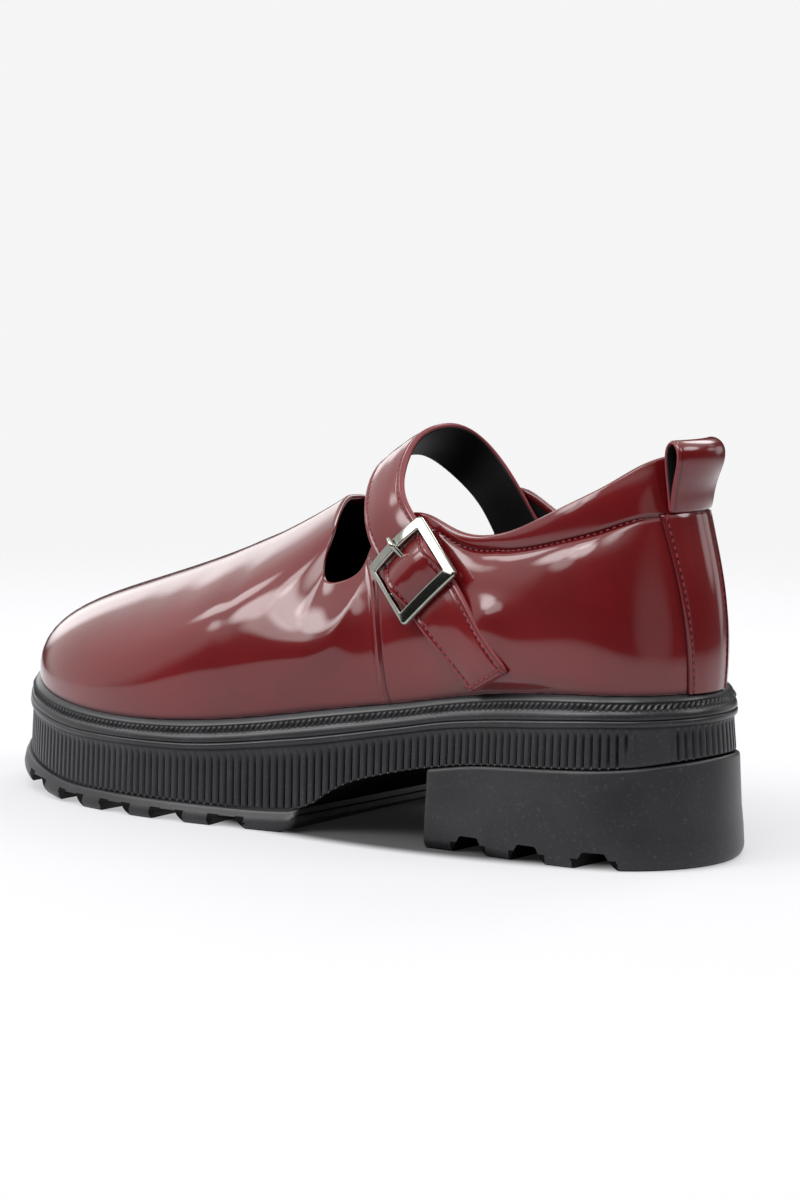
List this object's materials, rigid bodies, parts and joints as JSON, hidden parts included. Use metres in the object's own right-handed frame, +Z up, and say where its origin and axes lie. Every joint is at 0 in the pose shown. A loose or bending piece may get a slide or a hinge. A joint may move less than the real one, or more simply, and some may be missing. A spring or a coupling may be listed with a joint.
{
  "type": "platform mary jane loafer",
  "caption": "Left platform shoe with a round vamp, folded collar, buckled instep strap, heel pull loop, ribbed midsole band, notched heel and notched forefoot tread.",
  "frame": {"origin": "on the floor, under the middle of the shoe's bounding box", "axes": "+X along the shoe from the heel to the toe, +Y to the outer (lateral) side of this left shoe, +Z up"},
  "size_m": [0.275, 0.1024, 0.1241],
  "materials": {
    "burgundy_patent": "deep burgundy patent leather, mirror-glossy with soft creases",
    "black_lining": "matte black lining leather",
    "black_rubber": "matte black moulded rubber with fine ribs and a light sheen",
    "bright_nickel": "bright polished nickel plating"
  },
  "bodies": {
    "root": {"heel_block": "black_rubber", "forefoot_tread": "black_rubber", "midsole_band": "black_rubber", "welt": "black_rubber", "insole": "black_lining", "upper": "burgundy_patent", "back_strip": "burgundy_patent", "pull_loop": "burgundy_patent", "instep_strap": "burgundy_patent", "buckle_frame": "bright_nickel", "buckle_prong": "bright_nickel", "buckle_chape": "burgundy_patent"}
  },
  "joints": []
}
